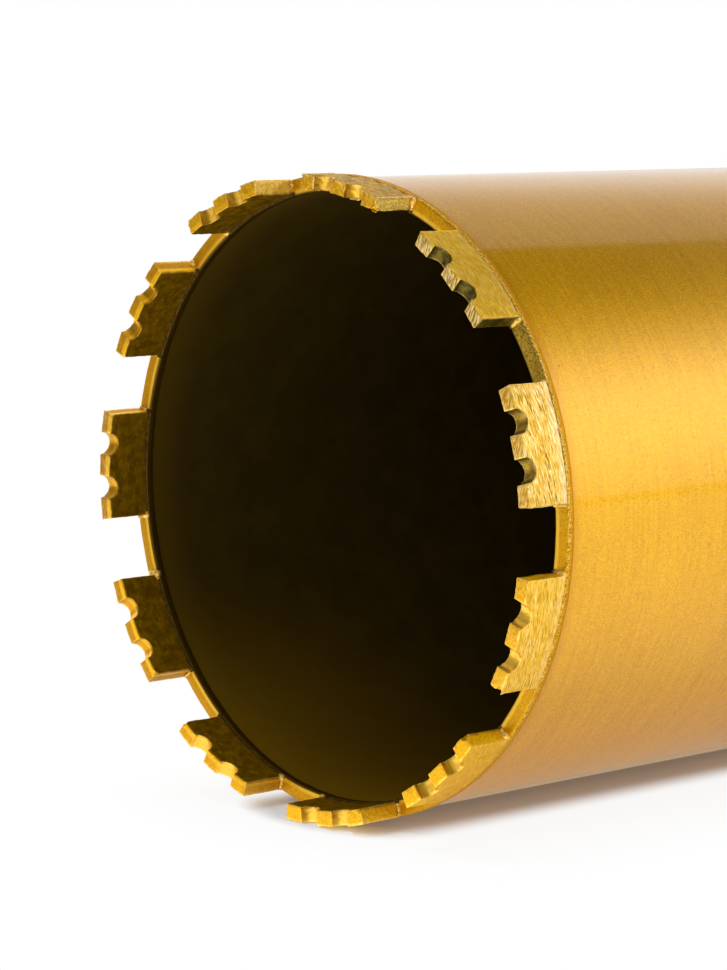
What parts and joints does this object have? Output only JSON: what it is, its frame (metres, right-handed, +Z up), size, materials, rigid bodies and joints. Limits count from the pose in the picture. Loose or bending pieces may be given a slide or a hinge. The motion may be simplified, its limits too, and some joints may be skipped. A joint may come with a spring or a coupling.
{
  "type": "diamond core bit",
  "caption": "Tubular core bit: gold-painted steel barrel with grooved diamond segments on a crown ring, and a threaded spindle hub at the closed end.",
  "frame": {"origin": "on the ground under the barrel's axis, halfway along the bit", "axes": "+X along the bit's axis towards the spindle hub, -X towards the cutting end, +Z up"},
  "size_m": [0.4856, 0.1318, 0.132],
  "materials": {
    "gold_paint": "satin metallic gold paint on steel tube",
    "ring_paint": "matt gold paint over turned steel",
    "diamond_segment": "gold paint over coarse ground metal and diamond matrix",
    "braze": "rough braze under gold paint",
    "weld": "painted weld",
    "hub_steel": "gold paint on machined steel"
  },
  "bodies": {
    "root": {"barrel": "gold_paint", "crown_ring": "ring_paint", "segment_01": "diamond_segment", "segment_02": "diamond_segment", "segment_03": "diamond_segment", "segment_04": "diamond_segment", "segment_05": "diamond_segment", "segment_06": "diamond_segment", "segment_07": "diamond_segment", "segment_08": "diamond_segment", "segment_09": "diamond_segment", "segment_10": "diamond_segment", "segment_11": "diamond_segment", "segment_braze_01": "braze", "segment_braze_02": "braze", "segment_braze_03": "braze", "segment_braze_04": "braze", "segment_braze_05": "braze", "segment_braze_06": "braze", "segment_braze_07": "braze", "segment_braze_08": "braze", "segment_braze_09": "braze", "segment_braze_10": "braze", "segment_braze_11": "braze", "ring_weld": "weld", "back_plate": "gold_paint", "rear_weld": "weld", "spindle_hub": "hub_steel", "hub_weld": "weld"}
  },
  "joints": []
}
